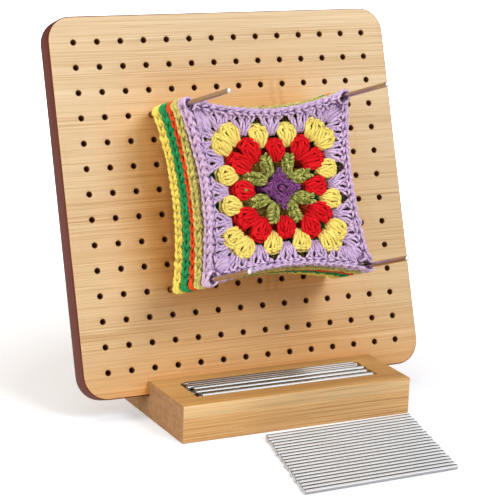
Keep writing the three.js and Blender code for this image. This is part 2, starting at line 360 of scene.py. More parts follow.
FACE = bamboo(
    "bamboo_board_face", light=srgb(227, 212, 186), middle=srgb(214, 194, 162),
    dark=srgb(186, 152, 108), strip=21.5, seed=3.0, contrast=0.85, fine_share=0.42, vessels=0.42,
    painted_lower_shade_tint=(0.90, 0.81, 0.66), painted_warm_shade_tint=(1.15, 0.75, 0.40))
BACK = bamboo(
    "bamboo_board_back", light=srgb(236, 206, 160), middle=srgb(222, 186, 136),
    dark=srgb(200, 156, 104), strip=21.5, seed=11.0)
STAND_TOP = bamboo(
    "bamboo_stand_top", light=srgb(214, 174, 116), middle=srgb(196, 153, 94),
    dark=srgb(156, 108, 60), strip=17.0, seed=7.0, contrast=0.9, fine_share=0.4, vessels=0.45)
STAND_UPPER = bamboo(
    "bamboo_stand_upper_band", light=srgb(244, 219, 172), middle=srgb(228, 198, 150),
    dark=srgb(186, 146, 96), strip=9.0, seed=1.5, contrast=0.9, fine_share=0.4, vessels=0.45)
STAND_LOWER = bamboo(
    "bamboo_stand_lower_band", light=srgb(232, 196, 144), middle=srgb(215, 177, 124),
    dark=srgb(172, 126, 76), strip=6.5, seed=5.2, contrast=0.9, fine_share=0.4, vessels=0.5)
STAND_END = end_grain()
EDGE = board_edge()
HOLE = hole_wall()


# ------------------------------------------------------------------ steel
def steel(name, seed, roughness, colour):
    """Polished metal with faint draw lines along the rod and soft smudges."""
    g = Material(name)
    loc = g.attribute("loc")
    lines = g.noise(loc, scale=(0.004, 1.3, 1.3), offset=(seed, 0, 0), detail=2.0)
    smudge = g.noise(loc, scale=(0.02, 0.2, 0.2), offset=(seed, 2, 0), detail=2.0)
    line_share, smudge_share = 0.06, 0.05           # of the roughness
    rough = g.add(g.mul(smudge, smudge_share), roughness - 0.05)
    return g.surface(
        Base_Color=g.ramp(smudge, (0.3, tuple(c * 0.90 for c in colour)), (0.7, colour)),
        Metallic=1.0,
        Roughness=g.add(g.mul(lines, line_share), rough),
        Normal=g.bump(lines, strength=0.04, distance=0.00005))


STEEL = steel("polished_steel", seed=0.0, roughness=0.15, colour=(0.55, 0.55, 0.555))
STEEL_CAP = steel("sawn_steel_end", seed=5.0, roughness=0.30, colour=(0.86, 0.86, 0.87))
# the standing rods' base colour is tinted brown: a painted reflection of the warm board
STEEL_PAINTED_BOARD_REFLECTION = steel("polished_steel_painted_board_reflection", seed=9.0, roughness=0.15,
                       colour=(0.53, 0.44, 0.39))


# ------------------------------------------------------------------ cotton
def cotton(name, colour, shade, marl=0.0, marl_colour=None, lift=1.10):
    """Matt cotton: fibres that follow the ply, a fuzzy sheen and slight tone changes from strand
    to strand. With marl, one ply in three has a tone of its own. The attribute yarn holds the
    distance along, the turn round the strand and the strand's number."""
    g = Material(name)
    along, turn, number = g.split(g.attribute("yarn"))
    strand_tone = g.random(number)
    # fibre lines run along the ply
    per_turn, per_mm = 37.7, -1.9
    fibre = g.math("SINE", g.add(g.mul(turn, per_turn), g.mul(along, per_mm)))
    # painted shade in the grooves between the three plies
    groove = g.math("COSINE", g.mul(turn, 3 * TAU))
    groove = g.mul(g.sub(0.25, groove), 0.8, clamp=True)
    place = g.new("ShaderNodeTexCoord").outputs["Object"]
    mottle = g.noise(place, scale=(420, 420, 420), detail=3.0, roughness=0.6)
    fuzz = g.noise(place, scale=(2600, 2600, 2600), detail=2.0, roughness=0.6)
    strand_share, mottle_share = 0.40, 0.60
    tone = g.add(g.mul(strand_tone, strand_share), g.mul(mottle, mottle_share))
    dull = tuple(0.7 * c + 0.3 * s for c, s in zip(colour, shade))
    bright = tuple(min(1.0, c * lift + 0.012) for c in colour)
    base = g.ramp(tone, (0.22, dull), (0.50, colour), (0.78, bright))
    if marl:
        ply = g.math("COSINE", g.add(g.mul(turn, TAU), g.mul(mottle, 5.0)))
        ply = g.add(g.mul(ply, 2.0), 0.4, clamp=True)
        base = g.mix(g.mul(ply, marl), base, marl_colour)
    groove_strength, fibre_strength, deep_shade = 0.35, 0.14, 0.62
    # painted shade: the ply grooves are darkened towards the shade colour
    base = g.mix(g.mul(groove, groove_strength), base, shade)
    base = g.mix(g.mul(g.add(g.mul(fibre, 0.5), 0.5), fibre_strength), base, shade)
    # painted shade: strands that lie low or under others are darkened to a deeper shade colour
    base = g.mix(g.attribute("painted_shade", "Fac"), base, tuple(deep_shade * c for c in shade))
    normal = g.bump(fibre, strength=0.35, distance=0.00025)
    return g.surface(
        Base_Color=base,
        Roughness=0.9,
        Specular_IOR_Level=0.18,
        Sheen_Weight=0.30,
        Sheen_Roughness=0.45,
        Sheen_Tint=bright,
        Normal=g.bump(fuzz, strength=0.30, distance=0.00025, normal=normal))


# each yarn has its colour and a darker shade colour; the shade colour gives random tone and painted shade in ply
# grooves and on strands that lie low
COTTON = {
    "lavender": cotton("cotton_lavender", srgb(232, 212, 255), srgb(152, 112, 176)),
    "yellow": cotton("cotton_yellow", srgb(255, 249, 148), srgb(240, 190, 70), lift=1.0),
    "red": cotton("cotton_red", srgb(240, 30, 42), srgb(158, 8, 18)),
    "moss": cotton("cotton_moss_green", srgb(206, 212, 124), srgb(84, 92, 30),
                   marl=0.70, marl_colour=srgb(104, 120, 44)),
    "purple": cotton("cotton_purple", srgb(126, 62, 136), srgb(58, 22, 76),
                     marl=0.45, marl_colour=srgb(170, 126, 176)),
    "olive": cotton("cotton_olive", srgb(238, 236, 150), srgb(140, 126, 52),
                    marl=0.30, marl_colour=srgb(166, 156, 76)),
    "orange": cotton("cotton_orange_red", srgb(252, 100, 50), srgb(180, 46, 20)),
    "green": cotton("cotton_green", srgb(52, 174, 112), srgb(14, 90, 56)),
    "gold": cotton("cotton_gold", srgb(255, 252, 136), srgb(232, 192, 70), lift=1.0),
}


# ------------------------------------------------------------------ the board
CELL_STEPS = 6                                      # points along one side of a hole's square cell
ON_FACE, ON_EDGE, IN_HOLE, ON_BACK = range(4)       # material slots
HOLE_BOTTOM = -10.0                                 # middle of the hole's floor
# rings from a hole's cell into the hole: radius, out from the face
HOLE_RINGS = [
    (6.0, 0.0),                                     # keeps the quads even
    (HOLE_RADIUS + 0.28, 0.0), (HOLE_RADIUS + 0.08, -0.10), (HOLE_RADIUS, -0.32),
    (HOLE_RADIUS, -3.2), (HOLE_RADIUS, -12.0), (HOLE_RADIUS * 0.45, -12.35),
]


def square_loop(column, row, steps):
    """Lattice places round a square, anticlockwise from its lower left corner."""
    return ([(column + k, row) for k in range(steps)]
            + [(column + steps, row + k) for k in range(steps)]
            + [(column + steps - k, row + steps) for k in range(steps)]
            + [(column, row + steps - k) for k in range(steps)])


def outline_point(x, z, inset):
    """Where the ray from the centre through (x, z) meets the rounded square inset from the edge."""
    half = BOARD_SIZE / 2 - inset
    radius = BOARD_CORNER - inset
    straight = half - radius                        # where the corner arcs begin
    scale = half / max(abs(x), abs(z))
    edge_x, edge_z = x * scale, z * scale
    if abs(edge_x) <= straight or abs(edge_z) <= straight:
        return edge_x, edge_z
    length = math.hypot(x, z)
    x, z = x / length, z / length
    arc_x, arc_z = math.copysign(straight, x), math.copysign(straight, z)
    middle = x * arc_x + z * arc_z
    reach = middle + math.sqrt(middle * middle - (arc_x ** 2 + arc_z ** 2 - radius * radius))
    return x * reach, z * reach


def edge_profile():
    """Steps from the face round the edge to the back: inset, out from the face, material."""
    profile = [(BOARD_ROUND + 3.0, 0.0, ON_FACE)]
    bends = [math.pi / 2 * k / 4 for k in range(5)]
    for k, bend in enumerate(bends):
        profile.append((BOARD_ROUND * (1 - math.sin(bend)), -BOARD_ROUND * (1 - math.cos(bend)),
                        ON_FACE if k <= 1 else ON_EDGE))
    for depth in (4.0, 9.0, 14.0):
        profile.append((0.0, -depth, ON_EDGE))
    for k, bend in enumerate(bends):
        profile.append((BOARD_ROUND * (1 - math.cos(bend)),
                        -(BOARD_THICK - BOARD_ROUND * (1 - math.sin(bend))),
                        ON_EDGE if k < 3 else ON_BACK))
    return profile


class BoardMesh:
    """Points in board coordinates, and the faces between closed loops of them."""

    def __init__(self):
        self.points, self.faces, self.mats = [], [], []
        self.lattice = {}

    def add(self, x, z, out):
        self.points.append((x, z, out))
        return len(self.points) - 1

    def lattice_point(self, column, row):
        """A point on the cell borders, shared by the cells that meet there."""
        if (column, row) not in self.lattice:
            step = HOLE_PITCH / CELL_STEPS
            self.lattice[column, row] = self.add(
                -DRILLED_HALF + column * step, -DRILLED_HALF + row * step, 0.0)
        return self.lattice[column, row]

    def join(self, loop, to, mat, outward):
        """Joins a loop to a second loop, or to a single point."""
        for k in range(len(loop)):
            i, j = k, (k + 1) % len(loop)
            if outward:
                i, j = j, i
            end = (to,) if isinstance(to, int) else (to[j], to[i])
            self.faces.append((loop[i], loop[j], *end))
            self.mats.append(mat)

    def drill_hole(self, column, row):
        x = -DRILLED_HALF + (column + 0.5) * HOLE_PITCH
        z = -DRILLED_HALF + (row + 0.5) * HOLE_PITCH
        places = square_loop(column * CELL_STEPS, row * CELL_STEPS, CELL_STEPS)
        loop = [self.lattice_point(*place) for place in places]
        count = len(loop)
        angles = [-3 * math.pi / 4 + TAU * k / count for k in range(count)]
        for ring, (radius, out) in enumerate(HOLE_RINGS):
            inner = [self.add(x + radius * math.cos(a), z + radius * math.sin(a), out)
                     for a in angles]
            self.join(loop, inner, ON_FACE if ring < 2 else IN_HOLE, outward=False)
            loop = inner
        self.join(loop, self.add(x, z, HOLE_BOTTOM), IN_HOLE, outward=False)


def build_board():
    board = BoardMesh()
    for column in range(HOLES_PER_SIDE):
        for row in range(HOLES_PER_SIDE):
            board.drill_hole(column, row)
    # the margin and the edge
    border = square_loop(0, 0, HOLES_PER_SIDE * CELL_STEPS)
    drilled = [board.lattice_point(*place) for place in border]
    loop = drilled
    for inset, out, mat in edge_profile():
        ring = [board.add(*outline_point(*board.points[i][:2], inset), out) for i in drilled]
        board.join(loop, ring, mat, outward=True)
        loop = ring
    # the back, in rings that shrink to the middle
    rim = [board.points[i] for i in loop]
    for size in (0.75, 0.5, 0.25):
        ring = [board.add(x * size, z * size, -BOARD_THICK) for x, z, _ in rim]
        board.join(loop, ring, ON_BACK, outward=True)
        loop = ring
    board.join(loop, board.add(0, 0, -BOARD_THICK), ON_BACK, outward=True)

    x, z, out = np.array(board.points).T
    loc = np.stack([x, z, -out], 1)                 # along the grain, up the board, depth
    ob = make_object("blocking_board_bamboo", board_point(x, z, out), board.faces,
                     [FACE, EDGE, HOLE, BACK], board.mats, loc, sharp_angle=32)
    register(ob, "blocking_board", "board")


# ------------------------------------------------------------------ the stand
STAND_LOW, STAND_HIGH = box_mm("stand_bottom_layer")
STAND_SEAM = STAND_HIGH[2]                          # height of the glue seam between the layers
WELD = 0.002                                        # points closer than this are merged
EDGE_EASE = dict(offset=0.55, segments=3)
SEAM_EASE = dict(offset=0.10, segments=1)


def all_at(points, axis, value):
    return all(abs(p[axis] - value) < 0.02 for p in points)


def off_seam(points):
    return not all_at(points, 2, STAND_SEAM)


def on_seam_outline(points):
    outline = ((0, STAND_LOW), (0, STAND_HIGH), (1, STAND_LOW), (1, STAND_HIGH))
    return all_at(points, 2, STAND_SEAM) and any(all_at(points, k, box[k]) for k, box in outline)


def stand_material(centre, normal, lower):
    """Material slot of a face: 0 top, 1 upper band, 2 lower band, 3 end grain."""
    if abs(normal[0]) > 0.7 and abs(centre[0]) > STAND_HIGH[0] - 1.0:
        return 3
    if normal[2] > 0.6:
        return 0
    if lower:
        return 2
    on_front = normal[1] < -0.6 and centre[1] < STAND_LOW[1] + 1.5
    on_back = normal[1] > 0.6 and centre[1] > STAND_HIGH[1] - 1.5
    return 1 if on_front or on_back else 0


def build_stand_piece(name, node, lower):
    """The CAD piece with its flat faces joined, its edges eased and its faces given materials."""
    bm = bmesh.new()
    bm.from_mesh(frame["nodes"][node].data)
    for vert in bm.verts:
        vert.co /= MM
    bmesh.ops.remove_doubles(bm, verts=bm.verts, dist=WELD)
    bmesh.ops.dissolve_limit(bm, angle_limit=math.radians(1.0), verts=bm.verts, edges=bm.edges)
    for chosen, ease in ((off_seam, EDGE_EASE), (on_seam_outline, SEAM_EASE)):
        edges = [e for e in bm.edges
                 if len(e.link_faces) == 2 and e.calc_face_angle(0) >= math.radians(25)
                 and chosen([np.array(v.co) for v in e.verts])]
        if edges:
            bmesh.ops.bevel(bm, geom=edges, profile=0.5, affect="EDGES", clamp_overlap=True, **ease)
    # slivers left where eased edges meet
    bmesh.ops.remove_doubles(bm, verts=bm.verts, dist=WELD)
    bmesh.ops.dissolve_degenerate(bm, dist=WELD, edges=bm.edges)
    bmesh.ops.recalc_face_normals(bm, faces=bm.faces)
    mesh = bpy.data.meshes.new(name)
    bm.to_mesh(mesh)
    bm.free()
    for mat in (STAND_TOP, STAND_UPPER, STAND_LOWER, STAND_END):
        mesh.materials.append(mat)
    points = np.zeros(len(mesh.vertices) * 3, np.float32)
    mesh.vertices.foreach_get("co", points)
    for face in mesh.polygons:
        face.use_smooth = True
        face.material_index = stand_material(face.center, face.normal, lower)
    add_attribute(mesh, "loc", points.reshape(-1, 3))
    mesh.set_sharp_from_angle(angle=math.radians(30))
    mesh.vertices.foreach_set("co", points * MM)
    mesh.update()
    register(add_object(name, mesh), node, "stand")


def build_stand():
    build_stand_piece("stand_top_front_bamboo", "stand_top_front", lower=False)
    build_stand_piece("stand_top_rear_bamboo", "stand_top_rear", lower=False)
    build_stand_piece("stand_bottom_bamboo", "stand_bottom_layer", lower=True)


# ------------------------------------------------------------------ rods
ROD_SIDES = 28


def name_fraction(name):
    """A number from 0 to 1 that depends only on the name."""
    total = 0
    for letter in name:
        total = (total * 131 + ord(letter)) % 9973
    return total / 9973.0


def build_rod(node, body):
    """A round rod with chamfered ends, fitted to the CAD rod. Gives its centre and axis."""
    points = node_points(node)
    centre = (points.max(0) + points.min(0)) / 2
    axis = np.linalg.svd(points - points.mean(0), full_matrices=False)[2][0]
    if axis[np.argmax(np.abs(axis))] < 0:
        axis = -axis
    along = (points - centre) @ axis
    half = np.abs(along).max()
    radius = np.linalg.norm(points - centre - np.outer(along, axis), axis=1).max()
    across = np.cross(axis, [0, 0, 1.0])
    across /= np.linalg.norm(across)
    third = np.cross(axis, across)
    # distance along from the centre, radius
    profile = [
        (-half, radius - 0.45), (-half + 0.12, radius - 0.2), (-half + 0.4, radius),
        (-half * 0.5, radius), (0, radius), (half * 0.5, radius),
        (half - 0.4, radius), (half - 0.12, radius - 0.2), (half, radius - 0.45)]
    turn = TAU * np.arange(ROD_SIDES) / ROD_SIDES
    spokes = np.cos(turn)[:, None] * across + np.sin(turn)[:, None] * third
    rings = [centre + s * axis + r * spokes for s, r in profile]
    points = np.concatenate(rings + [[centre - half * axis], [centre + half * axis]])
    faces, mats = [], []
    bands = len(profile) - 1
    for k in range(bands):
        low, high = k * ROD_SIDES, (k + 1) * ROD_SIDES
        for i in range(ROD_SIDES):
            j = (i + 1) % ROD_SIDES
            faces.append((low + i, low + j, high + j, high + i))
            mats.append(1 if k in (0, bands - 1) else 0)
    first_tip, last_tip = len(points) - 2, len(points) - 1
    last = bands * ROD_SIDES
    for i in range(ROD_SIDES):
        j = (i + 1) % ROD_SIDES
        faces += [(first_tip, j, i), (last_tip, last + i, last + j)]
        mats += [1, 1]
    offsets = points - centre
    loc = np.stack([offsets @ axis, offsets @ across, offsets @ third], 1)
    # the rods that stand on the board get the steel with the painted board reflection
    side_mat = STEEL_PAINTED_BOARD_REFLECTION if node.startswith("board_rod") else STEEL
    ob = make_object(node + "_steel", points, faces, [side_mat, STEEL_CAP], mats,
                     loc + name_fraction(node) * 50, sharp_angle=35)
    register(ob, node, body)
    return centre, axis


def build_rods():
    """Builds all rods and gives the centre and axis of each by name."""
    return {node: build_rod(node, body)
            for body, members in BEHAVIOUR["bodies"].items()
            for node in members if "rod_" in node}


# ------------------------------------------------------------------ yarn
class Yarn:
    """Gathers yarn strands into one mesh. Each cross-section has lobes that wind round the
    strand, as plied yarn does."""
    LOBES = 3
    LOBE_DEPTH = 0.13                               # as a part of the radius
    LOBE_PITCH = 2.4                                # distance along from one ply to the next

    def __init__(self, sides):
        self.sides = sides
        self.points, self.quads, self.tris = [], [], []
        self.quad_mats, self.tri_mats = [], []
        self.places, self.painted_shade = [], []
        self.total = 0

    def add(self, path, radius, mat, phase, painted_shade):
        """path is N x 3; radius and deep hold a value for each of its points."""
        count, sides = len(path), self.sides
        tangent = np.gradient(path, axis=0)
        tangent /= np.linalg.norm(tangent, axis=1)[:, None] + 1e-12
        lengths = np.linalg.norm(np.diff(path, axis=0), axis=1)
        along = np.concatenate([[0], np.cumsum(lengths)])
        # a frame carried along the path without twist
        steep = abs(tangent[0][2]) >= 0.9
        across = np.cross(tangent[0], [1.0, 0.0, 0.0] if steep else [0.0, 0.0, 1.0])
        across /= np.linalg.norm(across)
        frames = np.empty((count, 3))
        frames[0] = across
        for i in range(1, count):
            across = frames[i - 1] - (frames[i - 1] @ tangent[i]) * tangent[i]
            frames[i] = across / (np.linalg.norm(across) + 1e-12)
        third = np.cross(tangent, frames)
        turn = TAU * np.arange(sides) / sides
        wind = TAU * along / (self.LOBE_PITCH * self.LOBES) + phase
        angle = (turn[None, :] + wind[:, None])[:, :, None]
        lobed = radius[:, None] * (1.0 + self.LOBE_DEPTH * np.cos(self.LOBES * turn)[None, :])
        spokes = np.cos(angle) * frames[:, None, :] + np.sin(angle) * third[:, None, :]
        rings = (path[:, None, :] + lobed[:, :, None] * spokes).reshape(-1, 3)
        tips = [path[0] - tangent[0] * radius[0] * 0.35, path[-1] + tangent[-1] * radius[-1] * 0.35]
        i = np.arange(count - 1)[:, None] * sides
        j = np.arange(sides)
        k = (j + 1) % sides
        quads = np.stack([i + j, i + k, i + sides + k, i + sides + j], -1).reshape(-1, 4)
        first_tip, last = count * sides, (count - 1) * sides
        start = np.stack([np.full(sides, first_tip), k, j], 1)
        end = np.stack([np.full(sides, first_tip + 1), last + j, last + k], 1)
        self.points.append(np.concatenate([rings, tips]))
        self.quads.append(quads + self.total)
        self.tris += [start + self.total, end + self.total]
        self.quad_mats.append(np.full(len(quads), mat))
        self.tri_mats.append(np.full(2 * sides, mat))
        self.painted_shade.append(np.concatenate([np.repeat(painted_shade, sides), [painted_shade[0], painted_shade[-1]]]))
        self.places.append(np.stack([
            np.concatenate([np.repeat(along, sides), [0, along[-1]]]),
            np.concatenate([np.tile(turn / TAU, count), [0, 0]]),
            np.full(first_tip + 2, float(len(self.points)))], 1))
        self.total += first_tip + 2

    def make_object(self, name, x, z, mats):
        """x and z give the board place of the square's middle."""
        points = np.concatenate(self.points)
        points = board_point(points[:, 0] + x, points[:, 1] + z, points[:, 2]) * MM
        quads, tris = np.concatenate(self.quads), np.concatenate(self.tris)
        corners = np.concatenate([quads.ravel(), tris.ravel()])
        starts = np.concatenate([np.arange(len(quads)) * 4,
                                 len(quads) * 4 + np.arange(len(tris)) * 3])
        mesh = bpy.data.meshes.new(name)
        mesh.vertices.add(len(points))
        mesh.vertices.foreach_set("co", points.astype(np.float32).ravel())
        mesh.loops.add(len(corners))
        mesh.loops.foreach_set("vertex_index", corners.astype(np.int32))
        mesh.polygons.add(len(starts))
        mesh.polygons.foreach_set("loop_start", starts.astype(np.int32))
        mesh.update(calc_edges=True)
        for mat in mats:
            mesh.materials.append(mat)
        face_mats = np.concatenate(self.quad_mats + self.tri_mats)
        mesh.polygons.foreach_set("material_index", face_mats.astype(np.int32))
        mesh.polygons.foreach_set("use_smooth", np.ones(len(starts), bool))
        add_attribute(mesh, "yarn", np.concatenate(self.places))
        add_attribute(mesh, "painted_shade", np.concatenate(self.painted_shade))
        mesh.validate()
        return add_object(name, mesh)


# ------------------------------------------------------------------ a crocheted square
HALF = 63.5                                         # half a side of the ideal square
CORNER_HOLD = 60.0                                  # the ideal corner point that lands on a rod
RIM_HALF, RIM_CORNER = HALF - 2.4, 5.0              # path of the border: half a side, corner radius
FAN_PITCH = 7.4                                     # spacing of stitch tops in the last round
# the square's four sides: away from the middle, and along the side clockwise
SIDES = [(np.array(up), np.array(side)) for up, side in (
    ((0.0, 1.0), (1.0, 0.0)), ((1.0, 0.0), (0.0, -1.0)),
    ((0.0, -1.0), (-1.0, 0.0)), ((-1.0, 0.0), (0.0, 1.0)))]
CORNER_RODS = {
    (-1, 1): "board_rod_top_left", (1, 1): "board_rod_top_right",
    (-1, -1): "board_rod_bottom_left", (1, -1): "board_rod_bottom_right"}
# rounds 2 to 4. Heights run out from the middle of the square: base and top of a side's shells,
# their places along the side, corner shell base (along, height), its top, stitch width
MIDDLE_ROUNDS = [
    (12.5, 28.6, [], (6.6, 10.4), (11.0, 27.6), 3.28),
    (22.5, 39.8, [0.0], (17.2, 22.8), (24.6, 40.2), 5.5),
    (34.0, 51.8, [-12.0, 12.0], (30.6, 37.2), (40.0, 51.4), 5.35),
]
# strands across the star's arms: height, half width
STAR_STRANDS = ((4.2, 3.4), (6.2, 4.4), (8.2, 4.5), (10.2, 3.9), (12.4, 2.8), (14.4, 1.7))
# strands across the loose shells of round 2: part of the shell's length, half width
LOOSE_STRANDS = ((0.30, 2.3), (0.46, 3.3), (0.61, 4.1), (0.75, 4.2), (0.87, 3.0))
# stitches from each corner space to its rod: base x, z, top x, z, for the upper right corner
CORNER_POSTS = (
    (47.6, 47.6, 57.5, 57.5), (45.4, 49.6, 54.2, 60.6), (49.6, 45.4, 60.6, 54.2),
    (46.4, 48.8, 56.4, 59.6), (48.8, 46.4, 59.6, 56.4))


class Rim:
    """The border's path in ideal coordinates: clockwise from the top left, with round corners."""

    def __init__(self):
        points = []
        for sign_x, sign_z, start in ((-1, 1, np.pi), (1, 1, np.pi / 2), (1, -1, 0.0),
                                      (-1, -1, -np.pi / 2)):
            x, z = (sign * (RIM_HALF - RIM_CORNER) for sign in (sign_x, sign_z))
            for a in np.linspace(start, start - np.pi / 2, 7):
                points.append((x + RIM_CORNER * np.cos(a), z + RIM_CORNER * np.sin(a)))
        self.points = np.array(points + [points[0]])
        lengths = np.linalg.norm(np.diff(self.points, axis=0), axis=1)
        self.along = np.concatenate([[0], np.cumsum(lengths)])
        self.total = self.along[-1]

    def at(self, distance):
        distance = distance % self.total
        return np.stack([np.interp(distance, self.along, self.points[:, k]) for k in (0, 1)], -1)

    def offset(self, distance, outward):
        """Points moved outward from the path by a distance for each."""
        way = self.at(distance + 0.6) - self.at(distance - 0.6)
        way = way / (np.linalg.norm(way, axis=-1)[..., None] + 1e-9)
        normal = np.stack([-way[..., 1], way[..., 0]], -1)
        return self.at(distance) + normal * np.asarray(outward)[..., None]


class Square:
    """A granny square of five rounds. Ideal coordinates (x right, z up) have straight sides;
    warp() draws the corners out to the rods and lets the sides pull in. Heights called out are
    measured from the square's mid plane, away from the board."""

    def __init__(self, rounds, waist, corner, thick, plane, shift, pins, rod_paths,
                 seed, sides, step, fine):
        self.rounds = rounds                        # material slot of each round
        self.waist = waist                          # half sizes: left, right, lower, upper
        self.corner = corner                        # half size at the corners
        self.thick = thick
        self.plane = plane                          # mid plane: out at the middle, slope up z
        self.shift = np.array(shift)                # how far the middle is off centre
        self.rod_paths = rod_paths                  # where each rod passes while the square slides
        self.step = step                            # length of yarn between rings of a stitch
        self.fine = fine
        self.rng = np.random.default_rng(seed)
        self.yarn = Yarn(sides)
        # what is left to bring each corner point onto its rod
        self.pulls = []
        for signs, pin in pins.items():
            got = self.relaxed(np.array([signs]) * CORNER_HOLD)[0]
            self.pulls.append((*signs, pin - got))

    def jitter(self, spread, count=None):
        return self.rng.normal(0, spread, count)

    def either(self, chance):
        return 1 if self.rng.random() < chance else -1

    # ---- shape of the whole square
    def relaxed(self, points):
        x, z = points[..., 0], points[..., 1]
        u, v = x / HALF, z / HALF
        left, right, lower, upper = self.waist
        half_x = np.where(u < 0, left, right)
        half_z = np.where(v < 0, lower, upper)
        flare_x = (self.corner / half_x - 1.0) * np.abs(u) ** 1.3 * np.abs(v) ** 2.2
        flare_z = (self.corner / half_z - 1.0) * np.abs(v) ** 1.3 * np.abs(u) ** 2.2
        inner = np.clip(1 - np.maximum(np.abs(u), np.abs(v)) ** 2, 0, 1)
        return np.stack([x * (half_x / HALF * (1 + flare_x)) + self.shift[0] * inner,
                         z * (half_z / HALF * (1 + flare_z)) + self.shift[1] * inner], -1)

    def warp(self, points):
        warped = self.relaxed(points)
        u, v = points[..., 0] / CORNER_HOLD, points[..., 1] / CORNER_HOLD
        for sign_x, sign_z, pull in self.pulls:
            share = np.clip(u * sign_x, 0, 1.05) ** 2.0 * np.clip(v * sign_z, 0, 1.05) ** 2.0
            warped = warped + share[..., None] * pull
        return warped

    # ---- strands
    def clear_rod(self, path, radius, painted_shade, rod_start, rod_end):
        """Moves a strand off one rod, adding points where it would cut the corner."""
        def room():
            return ROD_RADIUS + radius * 1.2 + 0.35

        line = rod_end - rod_start

        def from_rod(points):
            t = np.clip((points - rod_start) @ line / (line @ line), 0, 1)
            return points - (rod_start + t[:, None] * line)

        need = room()
        off = from_rod(path[:, :2])
        gap = np.linalg.norm(off, axis=1)
        if not (gap < need).any():
            return path, radius, painted_shade
        # pass the rod on the side on which the strand already lies
        i = int(np.argmin(gap))
        way = path[min(i + 2, len(path) - 1), :2] - path[max(i - 2, 0), :2]
        way /= np.linalg.norm(way) + 1e-9
        aside = np.array([-way[1], way[0]])
        aside = aside if off[i] @ aside >= 0 else -aside
        for _ in range(24):
            gap = np.linalg.norm(from_rod(path[:, :2]), axis=1)
            path[:, :2] += aside * np.clip(need - gap, 0, None)[:, None]
        for _ in range(2):
            mids = (path[1:] + path[:-1]) / 2
            is_long = np.linalg.norm(path[1:] - path[:-1], axis=1) > 0.9
            gap = np.linalg.norm(from_rod(mids[:, :2]), axis=1)
            at = np.where(is_long & (gap < (need[1:] + need[:-1]) / 2))[0]
            if not len(at):
                break
            path = np.insert(path, at + 1, mids[at], axis=0)
            if painted_shade is not None:
                painted_shade = np.insert(painted_shade, at + 1, (painted_shade[at] + painted_shade[at + 1]) / 2)
            radius = np.insert(radius, at + 1, (radius[at] + radius[at + 1]) / 2)
            need = room()
            off = from_rod(path[:, :2])
            gap = np.linalg.norm(off, axis=1)
            push = off / np.maximum(gap, 1e-3)[:, None]
            path[:, :2] += push * np.clip(need - gap, 0, None)[:, None]
        return path, radius, painted_shade

    def strand(self, points, out, radius, mat, painted_shade=None, collide=True):
        """Adds a strand through warped x, z points at the given heights out, kept off the rods."""
        path = np.column_stack([points, np.broadcast_to(out, len(points))])
        radius = np.broadcast_to(np.asarray(radius, float), (len(path),)).copy()
        if painted_shade is not None:
            painted_shade = np.broadcast_to(np.asarray(painted_shade, float), (len(path),)).copy()
        if collide:
            for ends in self.rod_paths:
                path, radius, painted_shade = self.clear_rod(path, radius, painted_shade, *ends)
        if painted_shade is None:                            # painted shade: strands low between their neighbours are darkened
            painted_shade = np.clip((0.6 - np.abs(path[:, 2])) / 1.6, 0, 1) * 0.6
        # the yarn keeps within the square's thickness, clear of the squares before and behind it
        limit = self.thick / 2 - radius * 1.14
        path[:, 2] = np.maximum(path[:, 2], -limit)
        if not self.fine:
            path[:, 2] = np.minimum(path[:, 2], limit)
        middle, slope = self.plane
        path[:, 2] += middle + slope * path[:, 1]
        self.yarn.add(path, radius, mat, float(self.rng.uniform(0, 6.28)), painted_shade)

    # ---- stitches
    def post(self, base, bend, top, mat, out, coil, yarn, core, turns=0.6, hand=1):
        """A tall stitch: three strands of radius yarn coiled round a fuller core, plump in the
        middle. out holds the heights at base, middle and top; low ends dive under neighbours."""
        length = np.linalg.norm(np.subtract(top, base))
        t = np.linspace(0, 1, max(8, int(length * 1.25 / self.step)))
        spine = (base * ((1 - t) ** 2)[:, None] + 2 * bend * (t * (1 - t))[:, None]
                 + top * (t ** 2)[:, None])
        spine = self.warp(spine)
        height = out[1] * np.sin(np.pi * t) ** 0.75 + out[0] * (1 - t) ** 3 + out[2] * t ** 4
        way = np.gradient(spine, axis=0)
        way /= np.linalg.norm(way, axis=1)[:, None]
        normal = np.stack([-way[:, 1], way[:, 0]], 1)
        plump = 0.40 + 0.60 * np.sin(np.pi * (0.10 + 0.74 * t ** 0.9)) ** 0.9
        first = self.rng.uniform(0, 6.28)
        for k in range(3):
            phase = first + 2 * np.pi * k / 3 + hand * 2 * np.pi * turns * (t - 0.5)
            reach = coil * plump
            radius = yarn * (0.74 + 0.30 * plump) * (1 + self.jitter(0.04))
            self.strand(spine + (reach * np.cos(phase))[:, None] * normal,
                        height + 0.55 * reach * np.sin(phase), radius, mat)
        inner = slice(1, -1)
        # the core lies under the coiled strands and carries painted shade
        self.strand(spine[inner], height[inner] - 1.15, core * (0.55 + 0.45 * plump[inner]), mat,
                    painted_shade=0.85)

    def leg(self, start, middle, end, out, radius, mat, count=7, ends=0.5):
        """A short plump strand through three points at three heights: half of a chain stitch.
        Its tips are thinned to the part ends of the radius."""
        t = np.linspace(0, 1, count)
        start, middle, end = map(np.asarray, (start, middle, end))
        first, second, third = (1 - t) * (1 - 2 * t), 4 * t * (1 - t), t * (2 * t - 1)
        points = start * first[:, None] + middle * second[:, None] + end * third[:, None]
        self.strand(self.warp(points), out[0] * first + out[1] * second + out[2] * third,
                    radius * (ends + (1 - ends) * np.sin(np.pi * t) ** 0.6), mat)

    def cap(self, centre, side, axis, width, out, mat):
        """The loop over the top of a stitch: a small V along the chain, its ends tucked in."""
        across = side * (width * 0.50)
        j = self.jitter(0.22, 5)
        self.leg(centre - across + axis * (0.1 + j[0]), centre - axis * (0.9 + j[1]),
                 centre + across + axis * (0.8 + j[2]), (out - 1.5, out + 0.7, out - 1.5), 1.15, mat)
        self.leg(centre - across + axis * (1.3 + j[3]), centre + axis * (1.1 + j[4]),
                 centre + across + axis * 0.6, (out - 1.9, out + 0.35, out - 2.1), 1.15, mat)

